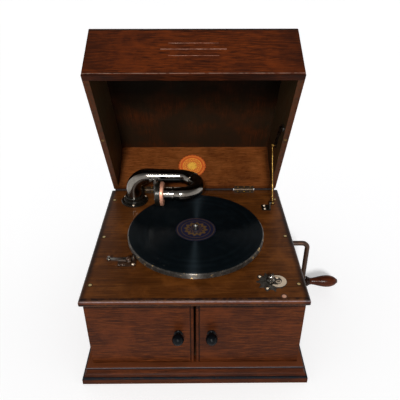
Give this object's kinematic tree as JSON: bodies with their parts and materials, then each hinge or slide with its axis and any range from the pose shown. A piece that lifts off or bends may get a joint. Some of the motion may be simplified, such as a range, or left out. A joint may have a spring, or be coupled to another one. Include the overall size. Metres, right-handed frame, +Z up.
{
  "type": "gramophone",
  "caption": "Table-top wind-up gramophone in a dark wooden case with an open lid, a record on the turntable, a thrown-back tonearm, paired front doors and a side crank.",
  "frame": {"origin": "Middle of the base board on the surface it stands on", "axes": "+Z up, -Y to the front with the doors, +X to the side with the crank"},
  "size_m": [0.5076, 0.4667, 0.543],
  "materials": {
    "walnut_case": "stained walnut, varnished",
    "deck_wood": "stained wood, polished",
    "horn_wood": "plain sealed wood",
    "nickel": "worn nickel plate",
    "dark_metal": "black japanned",
    "brass": "worn brass",
    "copper": "dull copper",
    "steel": "plain",
    "browned_steel": "browned steel",
    "shellac": "grooved gloss",
    "black_knob": "ebonised gloss",
    "grip_wood": "red-brown varnish",
    "fibre": "pressed fibre",
    "mica": "clear mica"
  },
  "bodies": {
    "case": {"base_board": "walnut_case", "plinth": "walnut_case", "side_left": "walnut_case", "side_right": "walnut_case", "back_panel": "walnut_case", "front_rail": "walnut_case", "motor_board": "deck_wood", "deck_screws": "brass", "small_screws": "brass", "button_disc": "copper", "door_pivots": "brass", "hinge_deck_leaves": "brass", "stay_bracket": "dark_metal", "tonearm_base": "nickel", "horn_floor": "horn_wood", "horn_left": "horn_wood", "horn_right": "horn_wood", "horn_rear_ceiling": "horn_wood", "horn_front_ceiling": "horn_wood", "throat_pipe": "dark_metal", "brake_plate": "dark_metal", "regulator_plate": "nickel", "crank_escutcheon": "nickel", "motor_top_plate": "steel", "motor_frame": "steel"},
    "lid": {"lid_front": "walnut_case", "lid_back": "walnut_case", "lid_left": "walnut_case", "lid_right": "walnut_case", "lid_top": "walnut_case", "hinge_lid_leaves": "brass", "lid_studs": "brass", "stay_track": "dark_metal"},
    "stay": {"stay_rod": "brass"},
    "left_door": {"door_left": "walnut_case", "knob_left": "black_knob"},
    "right_door": {"door_right": "walnut_case", "knob_right": "black_knob"},
    "turntable": {"platter": "nickel", "record": "shellac", "spindle": "nickel", "governor_wheel": "fibre"},
    "barrel": {"spring_barrel": "steel", "mainspring": "steel"},
    "arbor": {"winding_arbor": "steel"},
    "crank": {"crank_rod": "browned_steel"},
    "grip": {"crank_grip": "grip_wood"},
    "tonearm": {"tonearm_tube": "nickel"},
    "crook": {"crook_tube": "nickel", "soundbox_back": "copper", "soundbox_case": "dark_metal", "diaphragm": "mica", "stylus_bar": "nickel", "needle": "steel"},
    "clamp_screw": {"needle_screw": "brass"},
    "brake": {"brake_lever": "brass"},
    "regulator": {"regulator_knob": "dark_metal"},
    "speed": {"speed_lever": "steel"},
    "governor_body": {"governor_worm": "steel", "governor": "brass"}
  },
  "joints": [
    {"name": "lid_hinge", "type": "hinge", "parent": "case", "child": "lid", "pos_m": [0, 0.1735, 0.1875], "axis": [1, 0, 0], "range_deg": [0, 62]},
    {"name": "stay_swing", "type": "hinge", "parent": "case", "child": "stay", "pos_m": [0.162, 0.097, 0.199], "axis": [1, 0, 0], "range_deg": [0, 119.3]},
    {"name": "left_door_hinge", "type": "hinge", "parent": "case", "child": "left_door", "pos_m": [-0.17375, -0.16375, 0.107], "axis": [0, 0, -1], "range_deg": [0, 90]},
    {"name": "right_door_hinge", "type": "hinge", "parent": "case", "child": "right_door", "pos_m": [0.17375, -0.16375, 0.107], "axis": [0, 0, 1], "range_deg": [0, 90]},
    {"name": "turntable_spin", "type": "hinge", "parent": "case", "child": "turntable", "pos_m": [0.002, -0.009, 0.187], "axis": [0, 0, 1], "continuous": true},
    {"name": "barrel_turn", "type": "hinge", "parent": "case", "child": "barrel", "pos_m": [0.002, 0.044, 0.112], "axis": [0, 0, 1], "continuous": true},
    {"name": "crank_turn", "type": "hinge", "parent": "case", "child": "crank", "pos_m": [0, 0.044, 0.134], "axis": [1, 0, 0], "continuous": true},
    {"name": "grip_turn", "type": "hinge", "parent": "crank", "child": "grip", "pos_m": [0.27, 0.044, 0.031], "axis": [1, 0, 0], "continuous": true},
    {"name": "arbor_turn", "type": "hinge", "parent": "case", "child": "arbor", "pos_m": [0.002, 0.044, 0.124], "axis": [0, 0, 1], "continuous": true},
    {"name": "tonearm_swing", "type": "hinge", "parent": "case", "child": "tonearm", "pos_m": [-0.129, 0.129, 0.187], "axis": [0, 0, 1], "range_deg": [-48, 0]},
    {"name": "crook_turn", "type": "hinge", "parent": "tonearm", "child": "crook", "pos_m": [-0.00793, 0.11495, 0.248], "axis": [0.682, -0.7314, 0], "range_deg": [-180, 0]},
    {"name": "clamp_turn", "type": "hinge", "parent": "crook", "child": "clamp_screw", "pos_m": [-0.07361, 0.05436, 0.279], "axis": [-0.9994, 0.0349, 0], "range_deg": [0, 180]},
    {"name": "brake_swing", "type": "hinge", "parent": "case", "child": "brake", "pos_m": [-0.116, -0.08, 0.192], "axis": [0, 0, 1], "range_deg": [-20, 0]},
    {"name": "regulator_turn", "type": "hinge", "parent": "case", "child": "regulator", "pos_m": [0.126, -0.135, 0.187], "axis": [0, 0, 1], "range_deg": [0, 60]},
    {"name": "speed_swing", "type": "hinge", "parent": "case", "child": "speed", "pos_m": [0.098, -0.096, 0.165], "axis": [0, 0, 1], "range_deg": [-4, 0]},
    {"name": "governor_spin", "type": "hinge", "parent": "case", "child": "governor_body", "pos_m": [0.03, -0.03646, 0.128], "axis": [1, 0, 0], "continuous": true}
  ],
  "couplings": [
    {"joint": "stay_swing", "follows": "lid_hinge", "ratio": 1.9242},
    {"joint": "barrel_turn", "follows": "turntable_spin", "ratio": -0.15217},
    {"joint": "governor_spin", "follows": "turntable_spin", "ratio": -12},
    {"joint": "arbor_turn", "follows": "crank_turn", "ratio": 0.33333},
    {"joint": "speed_swing", "follows": "regulator_turn", "ratio": -0.066667}
  ]
}
